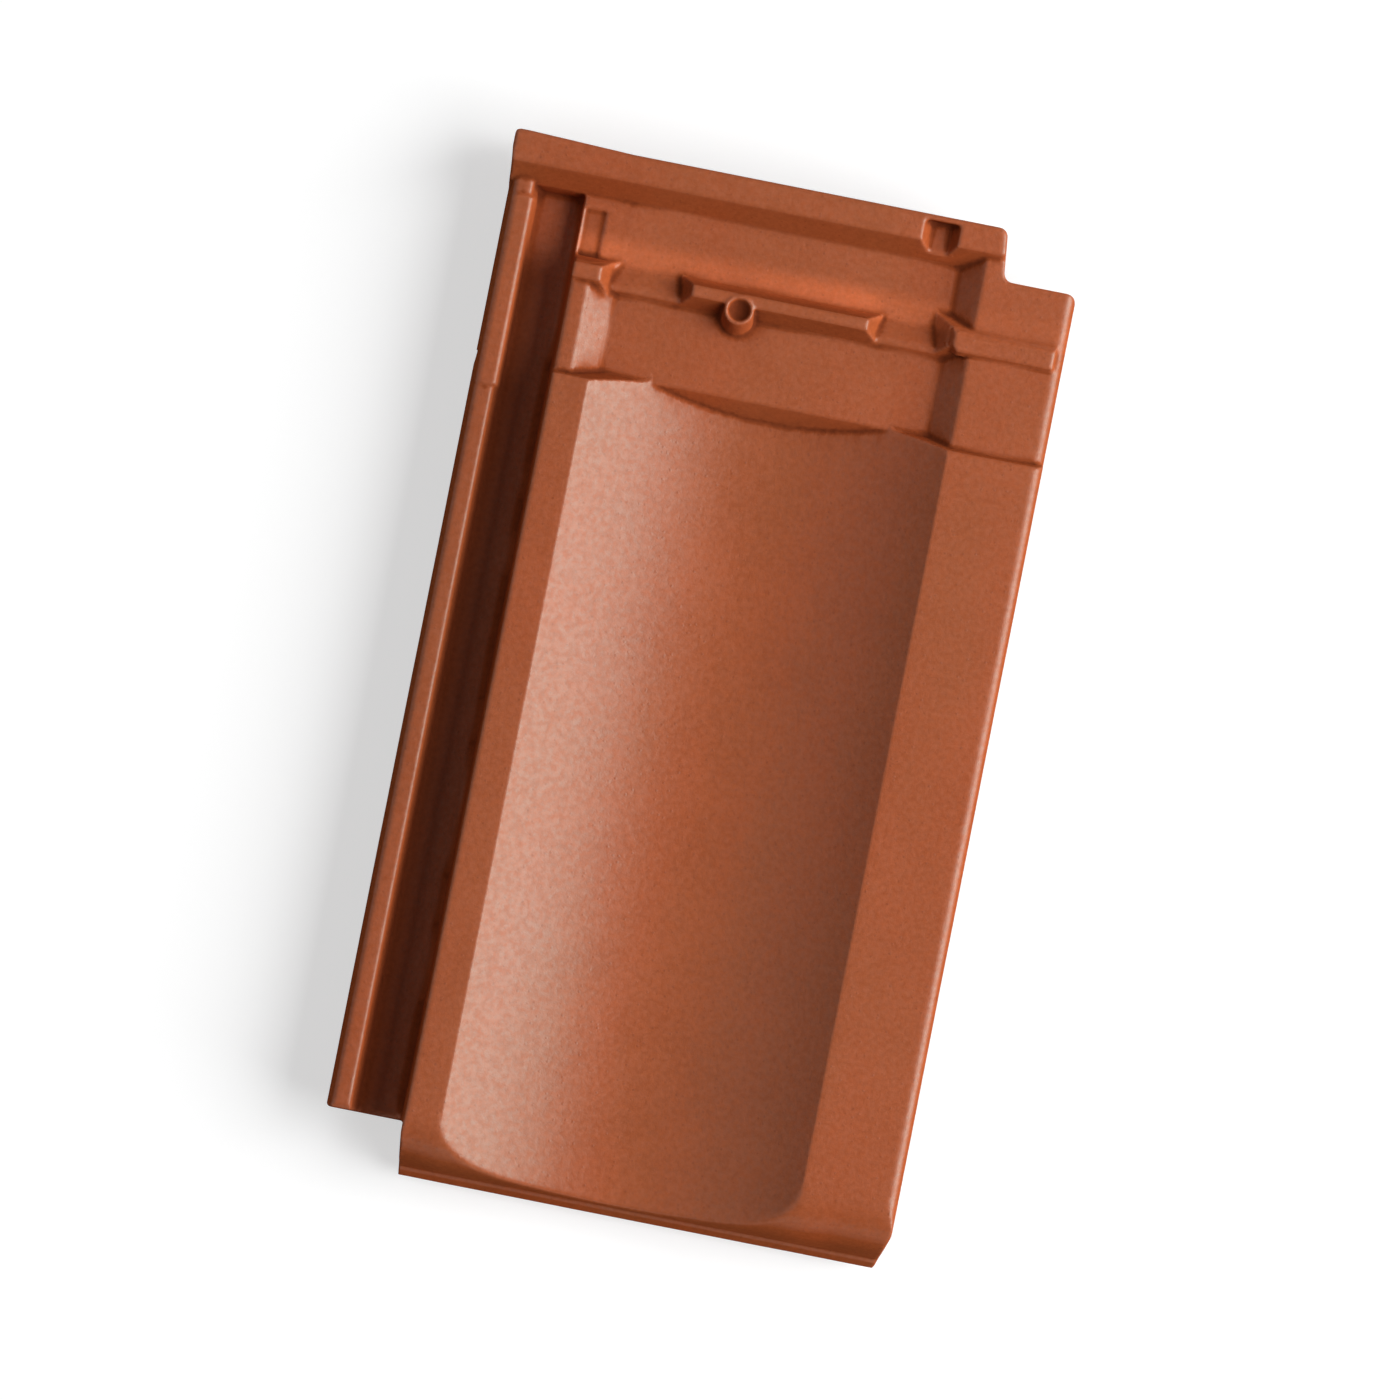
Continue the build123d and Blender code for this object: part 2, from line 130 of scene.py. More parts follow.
class Nodes:
    """Short hand for building one node tree."""

    def __init__(self, tree: bpy.types.NodeTree) -> None:
        """Start on an empty tree."""
        self.tree = tree
        tree.nodes.clear()

    def add(self, kind: str, inputs: dict | None = None, **settings: float | str | bool) -> bpy.types.Node:
        """Add a node.

        Args:
            kind: The node's type.
            inputs: Values or output sockets for its inputs, by name or number.
            settings: Values of the node's own properties.

        Returns:
            The new node.
        """
        node = self.tree.nodes.new(kind)
        for key, value in settings.items():
            setattr(node, key, value)
        for key, value in (inputs or {}).items():
            if isinstance(value, bpy.types.NodeSocket):
                self.tree.links.new(value, node.inputs[key])
            else:
                node.inputs[key].default_value = value
        return node

    def noise(
        self, place: bpy.types.NodeSocket, size: float, detail: float, rough: float = 0.5
    ) -> bpy.types.NodeSocket:
        """Noise with features of a given size in metres.

        Args:
            place: Coordinates to read.
            size: Size of the largest features.
            detail: Number of finer octaves.
            rough: Strength of each finer octave.

        Returns:
            The noise value's socket.
        """
        inputs = {"Vector": place, "Scale": 1 / size, "Detail": detail, "Roughness": rough}
        return self.add("ShaderNodeTexNoise", inputs).outputs["Fac"]

    def ramp(
        self, value: bpy.types.NodeSocket, low: float, high: float, start: float = 0, end: float = 1
    ) -> bpy.types.NodeSocket:
        """Spread a value's range from low to high smoothly over start to end.

        Args:
            value: The value to spread.
            low: Where the result is start.
            high: Where the result is end.
            start: Result at low.
            end: Result at high.

        Returns:
            The result's socket.
        """
        inputs = {"Value": value, "From Min": low, "From Max": high, "To Min": start, "To Max": end}
        node = self.add("ShaderNodeMapRange", inputs, interpolation_type="SMOOTHSTEP")
        return node.outputs["Result"]

    def math(
        self, operation: str, first: bpy.types.NodeSocket | float, second: bpy.types.NodeSocket | float
    ) -> bpy.types.NodeSocket:
        """Combine two values with one operation, and return the result's socket."""
        return self.add("ShaderNodeMath", {0: first, 1: second}, operation=operation).outputs["Value"]

    def mix(
        self,
        share: bpy.types.NodeSocket | float,
        first: bpy.types.NodeSocket | Colour,
        second: bpy.types.NodeSocket | Colour,
        blend: str = "MIX",
    ) -> bpy.types.NodeSocket:
        """Mix two colours.

        Args:
            share: How much of the second colour.
            first: First colour.
            second: Second colour.
            blend: How the second colour acts on the first.

        Returns:
            The mixed colour's socket.
        """
        inputs = {MIX_SHARE: share, MIX_FIRST: first, MIX_SECOND: second}
        node = self.add("ShaderNodeMix", inputs, data_type="RGBA", blend_type=blend)
        return node.outputs[MIX_RESULT]


@dataclass(frozen=True)
class SandyGrain:
    """Fine sand in the clay and the finish, as a node group that gives a tone, a mask and a height."""

    name: str = "sandy_grain"
    sand_size: float = 2.2 * MM
    fleck_size: float = 2.6 * MM
    cloud_size: float = 34 * MM
    sand_share: float = 0.7
    cloud_share: float = 0.3
    fleck_core: float = 0.08
    fleck_rim: float = 0.3
    fleck_none: float = 0.62
    fleck_sure: float = 0.72
    fleck_height: float = 0.35

    def build(self) -> bpy.types.NodeTree:
        """Make the group.

        Returns:
            A tree with the inputs Place and Size, and the outputs Tone, Fleck and Height.
        """
        tree = bpy.data.node_groups.new(self.name, "ShaderNodeTree")
        nodes = Nodes(tree)
        sockets = tree.interface
        sockets.new_socket("Place", in_out="INPUT", socket_type=Socket.VECTOR.value)
        size = sockets.new_socket("Size", in_out="INPUT", socket_type=Socket.VALUE.value)
        size.default_value = 1.0
        for name in ("Tone", "Fleck", "Height"):
            sockets.new_socket(name, in_out="OUTPUT", socket_type=Socket.VALUE.value)
        given = nodes.add("NodeGroupInput")
        scaled = nodes.add(
            "ShaderNodeVectorMath",
            {0: given.outputs["Place"], 1: given.outputs["Size"]},
            operation="DIVIDE",
        )
        place = scaled.outputs["Vector"]
        sand = nodes.noise(place, self.sand_size, detail=3, rough=0.6)
        cloud = nodes.noise(place, self.cloud_size, detail=4, rough=0.55)
        fleck_cells = nodes.add(
            "ShaderNodeTexVoronoi", {"Vector": place, "Scale": 1 / self.fleck_size, "Randomness": 1.0}
        )
        near = nodes.ramp(fleck_cells.outputs["Distance"], self.fleck_core, self.fleck_rim, 1, 0)
        chosen = nodes.add("ShaderNodeSeparateColor", {"Color": fleck_cells.outputs["Color"]})
        picked = nodes.ramp(chosen.outputs["Red"], self.fleck_none, self.fleck_sure)
        fleck = nodes.math("MULTIPLY", near, picked)
        sand_tone = nodes.math("MULTIPLY", sand, self.sand_share)
        cloud_tone = nodes.math("MULTIPLY", cloud, self.cloud_share)
        tone = nodes.math("ADD", sand_tone, cloud_tone)
        height = nodes.math("ADD", sand, nodes.math("MULTIPLY", fleck, self.fleck_height))
        nodes.add("NodeGroupOutput", {"Tone": tone, "Fleck": fleck, "Height": height})
        return tree


@dataclass(frozen=True)
class ThinRuns:
    """Band above the head lock where the finish has run thin and the clay glows orange."""

    low: Vector
    high: Vector
    left_inset: float = 34 * MM
    right_inset: float = 58 * MM
    starts: float = 34 * MM
    full: float = 43 * MM
    holds: float = 47 * MM
    ends: float = 52 * MM
    start_run: float = 2 * MM
    fade_run: float = 14 * MM
    far_share: float = 0.25
    patch_size: float = 26 * MM
    patch_low: float = 0.35
    patch_high: float = 0.6
    patch_least: float = 0.6

    def build(self, nodes: Nodes, place: bpy.types.NodeSocket) -> bpy.types.NodeSocket:
        """Add the mask of the thin runs.

        Args:
            nodes: The material's nodes.
            place: Object coordinates.

        Returns:
            The mask's socket.
        """
        axes = nodes.add("ShaderNodeSeparateXYZ", {"Vector": place})
        across = axes.outputs["X"]
        down = nodes.math("SUBTRACT", self.high.y, axes.outputs["Y"])
        start_x = self.low.x + self.left_inset
        fade_x = self.high.x - self.right_inset
        band = nodes.math(
            "MULTIPLY",
            nodes.ramp(down, self.starts, self.full),
            nodes.ramp(down, self.holds, self.ends, 1, 0),
        )
        side = nodes.math(
            "MULTIPLY",
            nodes.ramp(across, start_x, start_x + self.start_run),
            nodes.ramp(across, fade_x, fade_x + self.fade_run, 1, self.far_share),
        )
        patches = nodes.noise(place, self.patch_size, detail=2)
        patch = nodes.ramp(patches, self.patch_low, self.patch_high, self.patch_least, 1)
        return nodes.math("MULTIPLY", nodes.math("MULTIPLY", band, side), patch)


@dataclass(frozen=True)
class FiredClay:
    """Satin red-brown finish over fired clay, which shows bare on the underside."""

    name: str = "fired_clay"
    red: Colour = (0.345, 0.073, 0.021, 1)
    brown: Colour = (0.325, 0.077, 0.024, 1)
    thin: Colour = (0.54, 0.122, 0.038, 1)
    # Dark brown of the sand's random flecks, and the colour of the shade painted into creases and the side
    # channel.
    fleck_and_shade_dark: Colour = (0.14, 0.03, 0.011, 1)
    # Pale colour of the convex edges: partly rubbed wear, partly a painted highlight.
    pale: Colour = (0.42, 0.12, 0.055, 1)
    bare: Colour = (0.45, 0.15, 0.075, 1)
    satin: float = 0.4
    matt: float = 0.75
    grain_depth: float = 0.13 * MM
    gleam: Colour = (0.75, 1.0, 0.92, 1)
    streak_width: float = 45 * MM
    streak_stretch: float = 0.3
    glint_size: float = 3 * MM
    painted_shade_share: float = 0.92
    edge_wear_and_highlight_share: float = 0.35
    fleck_share: float = 0.25
    tone_range: tuple[float, float] = (0.9, 1.1)
    glint_range: tuple[float, float] = (0.4, 0.62)
    gloss_range: tuple[float, float] = (-0.05, 0.05)

    def build(self, grain: bpy.types.NodeTree, runs: ThinRuns) -> bpy.types.Material:
        """Make the material.

        Args:
            grain: The shared sandy grain group.
            runs: Where the finish runs thin.

        Returns:
            The finished material.
        """
        material = bpy.data.materials.new(self.name)
        material.use_nodes = True
        nodes = Nodes(material.node_tree)
        place = nodes.add("ShaderNodeTexCoord").outputs["Object"]
        sand = nodes.add("ShaderNodeGroup", {"Place": place, "Size": 1.0}, node_tree=grain)
        cover, sheen, hollow, crest = (
            nodes.add("ShaderNodeAttribute", attribute_name=mark.value).outputs["Fac"] for mark in Surface
        )
        lengthwise = nodes.add("ShaderNodeMapping", {"Vector": place, "Scale": (1, self.streak_stretch, 1)})
        streaks = nodes.noise(lengthwise.outputs["Vector"], self.streak_width, detail=3)
        finish = nodes.mix(nodes.ramp(streaks, NOISE_LOW, NOISE_HIGH), self.red, self.brown)
        finish = nodes.mix(runs.build(nodes, place), finish, self.thin)
        # Painted shade: creases and the side channel's corner are darkened towards the dark brown.
        finish = nodes.mix(nodes.math("MULTIPLY", hollow, self.painted_shade_share), finish, self.fleck_and_shade_dark)
        # Convex edges are painted paler, partly as wear and partly as a painted highlight.
        finish = nodes.mix(nodes.math("MULTIPLY", crest, self.edge_wear_and_highlight_share), finish, self.pale)
        colour = nodes.mix(cover, self.bare, finish)
        tone = nodes.ramp(sand.outputs["Tone"], NOISE_LOW, NOISE_HIGH, *self.tone_range)
        shade = nodes.add("ShaderNodeCombineColor", {"Red": tone, "Green": tone, "Blue": tone})
        colour = nodes.mix(1.0, colour, shade.outputs["Color"], "MULTIPLY")
        flecks = nodes.math("MULTIPLY", sand.outputs["Fleck"], self.fleck_share)
        colour = nodes.mix(flecks, colour, self.fleck_and_shade_dark)
        glints = nodes.noise(place, self.glint_size, detail=3, rough=0.6)
        glint = nodes.ramp(glints, NOISE_LOW, NOISE_HIGH, *self.glint_range)
        gloss = nodes.ramp(sand.outputs["Tone"], NOISE_LOW, NOISE_HIGH, *self.gloss_range)
        rough = nodes.math("ADD", nodes.ramp(sheen, 0, 1, self.matt, self.satin), gloss)
        bump = nodes.add(
            "ShaderNodeBump",
            {"Height": sand.outputs["Height"], "Strength": 1.0, "Distance": self.grain_depth},
        )
        shader = nodes.add(
            "ShaderNodeBsdfPrincipled",
            {
                "Base Color": colour,
                "Roughness": rough,
                "Normal": bump.outputs["Normal"],
                "Specular IOR Level": nodes.math("MULTIPLY", sheen, glint),
                "Specular Tint": self.gleam,
            },
        )
        nodes.add("ShaderNodeOutputMaterial", {"Surface": shader.outputs["BSDF"]})
        return material


@dataclass(frozen=True)
class WornStretch:
    """A box in which pressing has drawn the clay towards the foot, and left the edges rounder."""

    name: str
    low: Vector
    high: Vector
    fade: Vector
    forward: float
    rounds: int

    def weigh(self, places: np.ndarray) -> np.ndarray:
        """How far each point lies in the box: from 0 at its borders to 1 well inside.

        Args:
            places: Points, in metres.

        Returns:
            One weight for each point.
        """
        inside = np.minimum(places - np.array(self.low), np.array(self.high) - places)
        return np.clip((inside / np.array(self.fade)).min(axis=1), 0, 1)


@dataclass(frozen=True)
class SideChannel:
    """The side lock's water channel, where a shadow is painted dark into the corner at the rib."""

    rib_x: float
    head_y: float
    floor_z: float
    depth: float = 12 * MM
    rib_margin: float = 6 * MM
    floor_margin: float = 1.5 * MM
    reach: float = 13 * MM
    start: float = 14 * MM

    def channel_shadow(self, places: np.ndarray) -> np.ndarray:
        """How far each point lies in the painted shadow, from 0 to 1.

        Args:
            places: Points, in metres.

        Returns:
            One value for each point.
        """
        x, y, z = places.T
        across = np.clip(1 - (x - self.rib_x) / self.reach, 0, 1)
        along = np.clip((self.head_y - y) / self.start, 0, 1)
        down = np.clip((self.floor_z + self.depth - z) / self.depth, 0, 1)
        inside = (x > self.rib_x - self.rib_margin) & (z > self.floor_z - self.floor_margin)
        return across * along * np.sqrt(down) * inside


@dataclass(frozen=True)
class Trough:
    """The tile's round trough: one arc over its width, the same along the whole field."""

    axis_x: float
    axis_z: float
    radius: float

    @classmethod
    def measure(cls, places: np.ndarray) -> "Trough":
        """Lay an arc through points of the trough's surface.

        Args:
            places: Points on the trough, in metres.

        Returns:
            The trough's arc.
        """
        x, z = places[:, 0], places[:, 2]
        terms = np.stack((2 * x, 2 * z, np.ones(len(x))), axis=1)
        axis_x, axis_z, rest = np.linalg.lstsq(terms, x**2 + z**2, rcond=None)[0]
        return cls(axis_x, axis_z, math.sqrt(rest + axis_x**2 + axis_z**2))

    def even_out(self, places: np.ndarray, reach: float) -> np.ndarray:
        """Bring points that nearly lie on the arc onto it.

        Args:
            places: Points, in metres.
            reach: Distance from the arc at which a point is left as it is.

        Returns:
            The moved points.
        """
        across, up = places[:, 0] - self.axis_x, places[:, 2] - self.axis_z
        radius = np.hypot(across, up)
        off = self.radius - radius
        share = np.clip(2 - 2 * np.abs(off) / reach, 0, 1) * (up < 0)
        moved = places.copy()
        moved[:, 0] += share * off * across / radius
        moved[:, 2] += share * off * up / radius
        return moved


@dataclass
class RoofTile:
    """The tile's visible mesh, made from the solid and softened as pressed clay is."""

    node: str = "roof_tile"
    piece: str = "fired_tile"
    slot: str = "fired_clay"
    merge: float = 0.01 * MM
    voxel: float = 0.75 * MM
    soften_factor: float = 0.5
    soften_rounds: int = 3
    triangles: int = 190_000
    warp_depth: float = 0.2 * MM
    warp_size: float = 55 * MM
    warp_octaves: int = 2
    trough_reach: float = 0.4 * MM
    trough_top: float = 3 * MM
    trough_half: float = 65 * MM
    trough_facing: float = 0.8
    nose_inset: tuple[float, float] = (38 * MM, 26 * MM)
    nose_reach: float = 30 * MM
    nose_base: float = 17 * MM
    nose_fade: Vector = Vector((14 * MM, 4 * MM, 4 * MM))
    nose_forward: float = 1.3 * MM
    nose_rounds: int = 36
    block_inset: float = 49 * MM
    block_from_head: tuple[float, float] = (61.5 * MM, 47 * MM)
    block_base: float = 41 * MM
    block_fade: Vector = Vector((3 * MM, 5 * MM, 2 * MM))
    block_forward: float = 2.6 * MM
    block_margin: float = 49 * MM
    peak_place: Vector = Vector((78.6 * MM, 97.5 * MM, 45 * MM))
    peak_reach: Vector = Vector((9 * MM, 6 * MM, 9 * MM))
    peak_fade: Vector = Vector((5 * MM, 4 * MM, 4 * MM))
    peak_rounds: int = 24
    channel_place: Vector = Vector((14.8 * MM, 42 * MM, 24 * MM))
    fold_limit: float = 0.3
    fold_rounds: int = 4
    cover_from: float = -0.55
    cover_span: float = 0.5
    sheen_from: float = 0.55
    sheen_span: float = 0.25
    dull_bend: float = 0.08
    shade_crease_bend: float = 0.18
    crest_bend: float = 0.35
    body: bpy.types.Object | None = field(default=None, init=False)

    def build(self) -> bpy.types.Object:
        """Model the tile's mesh.

        Returns:
            The tile's object.
        """
        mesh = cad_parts[self.node].data.copy()
        mesh.materials.clear()
        self.body = bpy.data.objects.new(self.piece, mesh)
        bpy.context.scene.collection.objects.link(self.body)
        trough = self.find_trough()
        nose = self.find_nose()
        self.join_faces()
        self.soften()
        self.wear(nose)
        self.wear(self.find_right_block())
        self.wear(self.find_ramp_peak())
        self.thin_out()
        places = self.points("co")
        share = 1 - nose.weigh(places)[:, None]
        places += share * (trough.even_out(places, self.trough_reach) - places)
        mesh.vertices.foreach_set("co", places.ravel())
        self.mend_folds()
        self.warp()
        self.mark_surface()
        return self.body

    def points(self, name: str) -> np.ndarray:
        """Read a vector of every vertex.

        Args:
            name: Which vector, "co" for the place or "normal".

        Returns:
            Rows of three numbers.
        """
        vertices = self.body.data.vertices
        values = np.empty(len(vertices) * 3, np.float32)
        vertices.foreach_get(name, values)
        return values.reshape(-1, 3)

    def find_trough(self) -> Trough:
        """Measure the trough on the solid's own faces.

        Returns:
            The trough's arc.
        """
        mesh = self.body.data
        band_z = max(vertex.co.z for vertex in mesh.vertices)
        corners = [
            mesh.vertices[number].co
            for face in mesh.polygons
            if face.normal.z > self.trough_facing and face.center.z < band_z - self.trough_top
            and abs(face.center.x) < self.trough_half and abs(face.center.y) < self.trough_half
            for number in face.vertices
        ]
        log.info("trough measured from %d corners", len(corners))
        return Trough.measure(np.array(corners))

    def find_nose(self) -> WornStretch:
        """Find the stretch where the trough runs out over the nose's rolled front.

        Returns:
            The stretch, drawn forward and rounded.
        """
        low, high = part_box(self.node)
        left, right = self.nose_inset
        return WornStretch(
            name="nose_edge",
            low=Vector((low.x + left, low.y - self.nose_reach, low.z + self.nose_base)),
            high=Vector((high.x - right, low.y + self.nose_reach, high.z + self.nose_reach)),
            fade=self.nose_fade,
            forward=self.nose_forward,
            rounds=self.nose_rounds,
        )

    def find_right_block(self) -> WornStretch:
        """Find the foot side of the right lock block, where it lies on the platform.

        Returns:
            The stretch, drawn forward.
        """
        low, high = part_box(self.node)
        foot, head = self.block_from_head
        margin = self.block_margin
        return WornStretch(
            name="right_block",
            low=Vector((high.x - self.block_inset, high.y - foot, low.z + self.block_base)),
            high=Vector((high.x + margin, high.y - head, high.z + margin)),
            fade=self.block_fade,
            forward=self.block_forward,
            rounds=0,
        )

    def find_ramp_peak(self) -> WornStretch:
        """Find the left end of the ramp's front line, where it comes to a peak.

        Returns:
            The stretch, rounded only.
        """
        low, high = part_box(self.node)
        place = self.peak_place
        middle = Vector((low.x + place.x, high.y - place.y, low.z + place.z))
        return WornStretch(
            name="ramp_peak",
            low=middle - self.peak_reach,
            high=middle + self.peak_reach,
            fade=self.peak_fade,
            forward=0,
            rounds=self.peak_rounds,
        )

    def find_channel(self) -> SideChannel:
        """Place the side lock's channel from the tile's left, head and floor.

        Returns:
            The channel.
        """
        low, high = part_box(self.node)
        place = self.channel_place
        return SideChannel(low.x + place.x, high.y - place.y, low.z + place.z)

    def wear(self, stretch: WornStretch) -> None:
        """Draw one stretch towards the foot, and round its edges further.

        Args:
            stretch: The stretch, and how far it is drawn and rounded.
        """
        places = self.points("co")
        weights = stretch.weigh(places)
        places[:, 1] -= weights * stretch.forward
        self.body.data.vertices.foreach_set("co", places.ravel())
        if not stretch.rounds:
            return
        group = self.body.vertex_groups.new(name=stretch.name)
        for number in np.flatnonzero(weights):
            group.add([int(number)], float(weights[number]), "REPLACE")
        apply_modifier(
            self.body, "Wear", "SMOOTH", factor=self.soften_factor, iterations=stretch.rounds,
            vertex_group=stretch.name,
        )
        self.body.vertex_groups.clear()

    def join_faces(self) -> None:
        """Merge the solid's loose triangles into one closed skin."""
        select_only(self.body)
        bpy.ops.object.mode_set(mode="EDIT")
        bpy.ops.mesh.select_all(action="SELECT")
        bpy.ops.mesh.remove_doubles(threshold=self.merge)
        bpy.ops.object.mode_set(mode="OBJECT")

    def soften(self) -> None:
        """Rebuild the skin as fine even faces, and round its edges a little."""
        apply_modifier(self.body, "Skin", "REMESH", mode="VOXEL", voxel_size=self.voxel, adaptivity=0.0)
        apply_modifier(
            self.body, "Round", "SMOOTH", factor=self.soften_factor, iterations=self.soften_rounds
        )

    def warp(self) -> None:
        """Give the surface the slight unevenness of a fired piece."""
        texture = bpy.data.textures.new("kiln_warp", "CLOUDS")
        texture.noise_scale = self.warp_size
        texture.noise_depth = self.warp_octaves
        apply_modifier(
            self.body, "Warp", "DISPLACE", texture=texture, strength=self.warp_depth, mid_level=0.5,
            texture_coords="LOCAL",
        )

    def thin_out(self) -> None:
        """Bring the mesh down to its number of triangles."""
        self.body.data.calc_loop_triangles()
        share = self.triangles / len(self.body.data.loop_triangles)
        apply_modifier(self.body, "Thin", "DECIMATE", ratio=min(1.0, share), use_collapse_triangulate=True)
        select_only(self.body)
        bpy.ops.object.shade_smooth()

    def mend_folds(self) -> None:
        """Even out the few points at which thinning has left a face folded over."""
        mesh = self.body.data
        mesh.update()
        corners = np.empty(len(mesh.loops), np.int32)
        mesh.loops.foreach_get("vertex_index", corners)
        corners = corners.reshape(-1, 3)
        facing = np.empty(len(mesh.polygons) * 3, np.float32)
        mesh.polygons.foreach_get("normal", facing)
        around = self.points("normal")[corners]
        agree = np.einsum("ij,ikj->ik", facing.reshape(-1, 3), around).min(axis=1)
        folded = np.zeros(len(mesh.vertices), bool)
        folded[corners[agree < self.fold_limit]] = True
        for parts, chosen in ((mesh.polygons, False), (mesh.edges, False), (mesh.vertices, folded)):
            parts.foreach_set("select", np.broadcast_to(chosen, len(parts)))
        log.info("%d points at folded faces evened out", folded.sum())
        select_only(self.body)
        bpy.ops.object.mode_set(mode="EDIT")
        bpy.ops.mesh.vertices_smooth(factor=self.soften_factor, repeat=self.fold_rounds)
        bpy.ops.object.mode_set(mode="OBJECT")

    def mark_surface(self) -> None:
        """Store how far the finish covers each point, where shade is painted into hollows, and where the
        skin is crested.
        """
        edges = np.empty(len(self.body.data.edges) * 2, np.int32)
        self.body.data.edges.foreach_get("vertices", edges)
        places = self.points("co")
        normals = self.points("normal")
        upward = normals[:, 2]
        bend = self.bend(places, normals, edges.reshape(-1, 2))
        # The side channel's corner at the rib gets a painted shadow: darker colour and no gloss.
        channel_shadow = self.find_channel().channel_shadow(places)
        level = np.clip((upward - self.sheen_from) / self.sheen_span, 0, 1)
        smooth = np.clip(1 + bend / self.dull_bend, 0, 1)
        self.store(Surface.COVER, np.clip((upward - self.cover_from) / self.cover_span, 0, 1))
        self.store(Surface.SHEEN, level * smooth * (1 - channel_shadow))
        # Painted shade in concave creases, joined with the side channel's painted shadow.
        self.store(Surface.PAINTED_SHADE, np.maximum(np.clip(-bend / self.shade_crease_bend, 0, 1), channel_shadow))
        self.store(Surface.CREST, np.clip(bend / self.crest_bend, 0, 1))

    @staticmethod
    def bend(places: np.ndarray, normals: np.ndarray, edges: np.ndarray, rounds: int = 6) -> np.ndarray:
        """How the skin bends at each point: crests are positive and hollows negative.

        Args:
            places: Points.
            normals: Normal at each point.
            edges: Pairs of point numbers.
            rounds: Number of passes that even the result out.

        Returns:
            One value for each point, in radians for each millimetre.
        """
        start, end = edges[:, 0], edges[:, 1]
        along = places[end] - places[start]
        length = np.linalg.norm(along, axis=1)
        lean = np.einsum("ij,ij->i", normals[end] - normals[start], along)
        turn = lean / np.maximum(length, SHORTEST) ** 2
        value = np.zeros(len(places))
        links = np.zeros(len(places))
        for side in (start, end):
            np.add.at(value, side, turn * MM)
            np.add.at(links, side, 1)
        links = np.maximum(links, 1)
        value /= links
        for _ in range(rounds):
            spread = np.zeros(len(places))
            np.add.at(spread, start, value[end])
            np.add.at(spread, end, value[start])
            value = 0.5 * value + 0.5 * spread / links
        return value

    def store(self, mark: Surface, values: np.ndarray) -> None:
        """Keep one value for each point as a surface attribute."""
        attribute = self.body.data.attributes.new(mark.value, "FLOAT", "POINT")
        attribute.data.foreach_set("value", values.astype(np.float32))

    def dress(self, finish: bpy.types.Material) -> None:
        """Put the finish on, and let the piece stand for the solid.

        Args:
            finish: The tile's material.
        """
        self.body.data.materials.append(finish)
        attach(self.body, "root")
        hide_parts(self.node)


@dataclass(frozen=True)
class SoftBox:
    """A soft lamp aimed at the tile."""

    name: str
    bearing: float
    zenith: float
    distance: float
    width: float
    length: float
    power: float

    def build(self, target: Vector) -> bpy.types.Object:
        """Hang the lamp.

        Args:
            target: The point that it lights.

        Returns:
            The lamp's object.
        """
        lamp = bpy.data.lights.new(self.name, "AREA")
        lamp.shape = "RECTANGLE"
        lamp.size = self.width
        lamp.size_y = self.length
        lamp.energy = self.power
        hung = bpy.data.objects.new(self.name, lamp)
        bpy.context.scene.collection.objects.link(hung)
        turn, lean = math.radians(self.bearing), math.radians(self.zenith)
        towards = Vector((math.sin(lean) * math.cos(turn), math.sin(lean) * math.sin(turn), math.cos(lean)))
        place = target + towards * self.distance
        across = towards.cross(Vector((-math.sin(turn), math.cos(turn), 0)))
        along = towards.cross(across)
        turned = Matrix((across, along, towards)).transposed().to_4x4()
        hung.matrix_world = Matrix.Translation(place) @ turned
        return hung


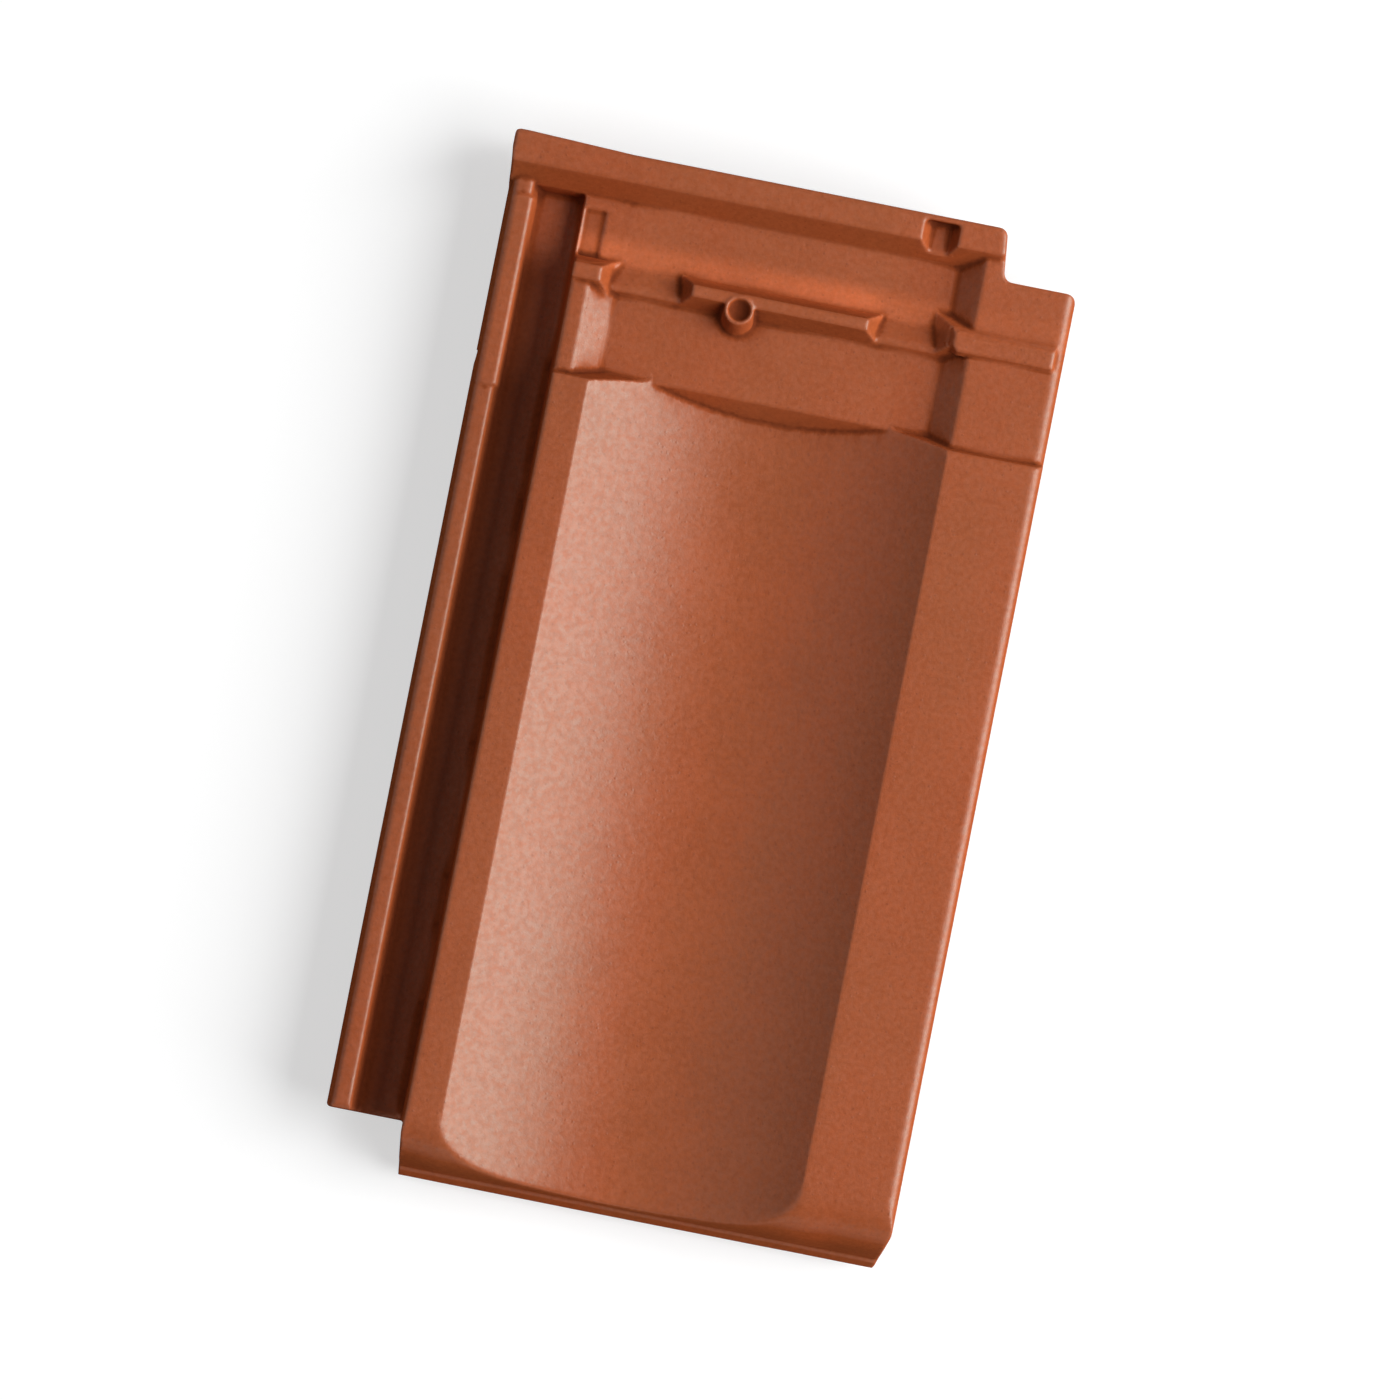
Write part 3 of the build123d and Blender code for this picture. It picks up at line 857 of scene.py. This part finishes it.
@dataclass
class Studio:
    """Pale floor, soft light and the camera."""

    floor_size: float = 30.0
    floor_drop: float = 0.2 * MM
    floor_tone: float = 0.5
    glow: float = 0.56
    sky: float = 0.05
    wall_top: float = 0.3
    wall_fade: float = 0.1
    view_width: float = 0.602
    view_distance: float = 6.0
    view_depth: float = 24.0
    sensor: float = 36.0
    view_tilt: float = 2.5
    view_roll: float = 11.2
    lamps: tuple[SoftBox, ...] = (
        SoftBox("key_softbox", bearing=3, zenith=58.5, distance=3.75, width=2.51, length=3.6, power=204),
        SoftBox("key_flank", bearing=3, zenith=33.5, distance=3.75, width=0.855, length=3.6, power=56),
        SoftBox("left_card", bearing=180, zenith=37, distance=3.75, width=3.12, length=6.3, power=32),
    )

    def build(self, low: Vector, high: Vector) -> None:
        """Set up the studio round the object's box.

        Args:
            low: Lowest corner of the object.
            high: Highest corner of the object.
        """
        centre = (low + high) / 2
        self.lay_floor(low.z)
        self.light_sky()
        for lamp in self.lamps:
            lamp.build(centre)
        self.place_camera(centre)
        bpy.context.scene.view_settings.view_transform = "Standard"

    def lay_floor(self, level: float) -> None:
        """Lay the floor under the object.

        Args:
            level: Height that the object stands on.
        """
        bpy.ops.object.select_all(action="DESELECT")
        bpy.ops.mesh.primitive_plane_add(size=self.floor_size, location=(0, 0, level - self.floor_drop))
        floor = bpy.context.object
        floor.name = "studio_floor"
        floor.data.materials.append(self.paint_floor())

    def paint_floor(self) -> bpy.types.Material:
        """Make the pale floor, which shows white and keeps the object's shadow.

        Returns:
            The floor's material.
        """
        material = bpy.data.materials.new("pale_floor")
        material.use_nodes = True
        nodes = Nodes(material.node_tree)
        tone = (self.floor_tone,) * 3 + (1.0,)
        paper = nodes.add("ShaderNodeBsdfDiffuse", {"Color": tone})
        strength = nodes.math("MULTIPLY", self.seen(nodes), self.glow)
        lit = nodes.add("ShaderNodeEmission", {"Strength": strength})
        both = nodes.add("ShaderNodeAddShader", {0: paper.outputs["BSDF"], 1: lit.outputs["Emission"]})
        nodes.add("ShaderNodeOutputMaterial", {"Surface": both.outputs["Shader"]})
        return material

    def light_sky(self) -> None:
        """Fill the room with a little light, and show a white wall beyond the floor."""
        world = bpy.data.worlds.new("studio_room")
        world.use_nodes = True
        nodes = Nodes(world.node_tree)
        outward = nodes.add("ShaderNodeTexCoord").outputs["Generated"]
        axes = nodes.add("ShaderNodeSeparateXYZ", {"Vector": outward})
        wall = nodes.ramp(axes.outputs["Z"], self.wall_top, self.wall_top + self.wall_fade, 1, 0)
        shown = nodes.math("MULTIPLY", self.seen(nodes), wall)
        room = nodes.add("ShaderNodeBackground", {"Strength": nodes.math("MAXIMUM", shown, self.sky)})
        nodes.add("ShaderNodeOutputWorld", {"Surface": room.outputs["Background"]})
        bpy.context.scene.world = world

    @staticmethod
    def seen(nodes: Nodes) -> bpy.types.NodeSocket:
        """Mask the rays that show the room: straight from the camera, by reflection or through glass.

        Args:
            nodes: The nodes of the floor or the room.

        Returns:
            The mask's socket.
        """
        path = nodes.add("ShaderNodeLightPath")
        straight = nodes.math("MAXIMUM", path.outputs["Is Camera Ray"], path.outputs["Is Glossy Ray"])
        return nodes.math("MAXIMUM", straight, path.outputs["Is Transmission Ray"])

    def place_camera(self, centre: Vector) -> None:
        """Look down on the object from a long way off.

        Args:
            centre: The middle of the view.
        """
        data = bpy.data.cameras.new("view_camera")
        data.sensor_width = self.sensor
        data.lens = self.sensor * self.view_distance / self.view_width
        data.clip_end = self.view_depth
        camera = bpy.data.objects.new("view_camera", data)
        bpy.context.scene.collection.objects.link(camera)
        tilt = Matrix.Rotation(math.radians(self.view_tilt), 4, "X")
        roll = Matrix.Rotation(math.radians(self.view_roll), 4, "Z")
        back = Matrix.Translation((0, 0, self.view_distance))
        camera.matrix_world = Matrix.Translation(centre) @ tilt @ back @ roll
        bpy.context.scene.camera = camera


def main() -> None:
    """Build the tile and its studio."""
    logging.basicConfig(level=logging.INFO, format="%(name)s: %(message)s")
    tile = RoofTile()
    piece = tile.build()
    near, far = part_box(tile.node)
    tile.dress(FiredClay().build(SandyGrain().build(), ThinRuns(near, far)))
    log.info("%s has %d faces", piece.name, len(piece.data.polygons))
    low, high = solid_bounds
    Studio().build(low, high)


if __name__ == "__main__":
    main()
